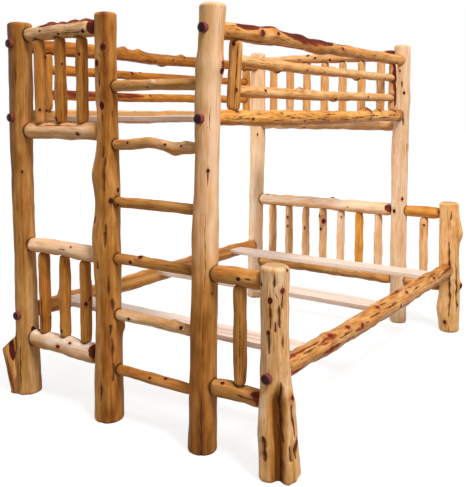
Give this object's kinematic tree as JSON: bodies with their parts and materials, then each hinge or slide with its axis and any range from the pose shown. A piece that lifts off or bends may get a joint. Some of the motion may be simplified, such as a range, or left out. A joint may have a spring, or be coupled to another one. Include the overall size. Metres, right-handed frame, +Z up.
{
  "type": "log bunk bed",
  "caption": "Bunk bed of peeled cedar logs: a narrow upper bunk with guard rails over a wider lower bunk, with spindled end panels and a ladder built into one end.",
  "frame": {"origin": "middle of the footprint on the floor", "axes": "+Z up, +Y along the bed from the ladder end to the head end, +X from the wall side to the open side"},
  "size_m": [1.608, 2.2822, 1.8],
  "materials": {
    "peeled_cedar_post": "hand-peeled log, knots and checks left, clear satin varnish",
    "peeled_cedar_rail": "hand-peeled log with red knots, clear satin varnish",
    "peeled_cedar_spindle": "peeled pole, clear satin varnish",
    "peeled_cedar_rung": "peeled pole, worn where it is stepped on",
    "sawn_slat": "bare sawn board",
    "heartwood_knob": "turned heartwood, oiled"
  },
  "bodies": {
    "root": {"guard_bar_open_lower": "peeled_cedar_spindle", "guard_bar_open_upper": "peeled_cedar_spindle", "guard_bar_wall_lower": "peeled_cedar_spindle", "guard_bar_wall_upper": "peeled_cedar_spindle", "guard_top_rail_open": "peeled_cedar_rail", "guard_top_rail_wall": "peeled_cedar_rail", "guard_upright_open_head": "peeled_cedar_spindle", "guard_upright_open_ladder": "peeled_cedar_spindle", "guard_upright_wall_head": "peeled_cedar_spindle", "guard_upright_wall_ladder": "peeled_cedar_spindle", "head_lower_spindle_rail": "peeled_cedar_rail", "head_lower_top_rail": "peeled_cedar_rail", "head_side_foot_rail": "peeled_cedar_rail", "head_side_spindle": "peeled_cedar_spindle", "head_side_top_rail": "peeled_cedar_rail", "head_upper_spindle_rail": "peeled_cedar_rail", "head_upper_top_rail": "peeled_cedar_rail", "knob_bolt_guard_open": "heartwood_knob", "knob_bolt_guard_wall": "heartwood_knob", "knob_bolt_lower_open": "heartwood_knob", "knob_bolt_lower_wall": "heartwood_knob", "knob_bolt_upper_open": "heartwood_knob", "knob_bolt_upper_wall": "heartwood_knob", "ladder_lower_foot_rail": "peeled_cedar_rail", "ladder_lower_spindle_1": "peeled_cedar_spindle", "ladder_lower_spindle_2": "peeled_cedar_spindle", "ladder_lower_spindle_3": "peeled_cedar_spindle", "ladder_lower_top_rail": "peeled_cedar_rail", "ladder_rung_1": "peeled_cedar_rung", "ladder_rung_2": "peeled_cedar_rung", "ladder_rung_3": "peeled_cedar_rung", "ladder_rung_4": "peeled_cedar_rung", "ladder_rung_5": "peeled_cedar_rung", "ladder_rung_6": "peeled_cedar_rung", "ladder_side_foot_rail": "peeled_cedar_rail", "ladder_side_spindle": "peeled_cedar_spindle", "ladder_side_top_rail": "peeled_cedar_rail", "ladder_upper_foot_rail": "peeled_cedar_rail", "ladder_upper_spindle_1": "peeled_cedar_spindle", "ladder_upper_spindle_2": "peeled_cedar_spindle", "ladder_upper_spindle_3": "peeled_cedar_spindle", "ladder_upper_top_rail": "peeled_cedar_rail", "lower_side_rail_open": "peeled_cedar_rail", "lower_side_rail_wall": "peeled_cedar_rail", "lower_slat_1": "sawn_slat", "lower_slat_2": "sawn_slat", "lower_slat_3": "sawn_slat", "post_head_outer": "peeled_cedar_post", "post_head_short": "peeled_cedar_post", "post_head_wall": "peeled_cedar_post", "post_ladder_inner": "peeled_cedar_post", "post_ladder_outer": "peeled_cedar_post", "post_ladder_short": "peeled_cedar_post", "post_ladder_wall": "peeled_cedar_post", "upper_side_rail_open": "peeled_cedar_rail", "upper_side_rail_wall": "peeled_cedar_rail", "upper_slat_1": "sawn_slat", "upper_slat_2": "sawn_slat", "upper_slat_3": "sawn_slat"}
  },
  "joints": []
}
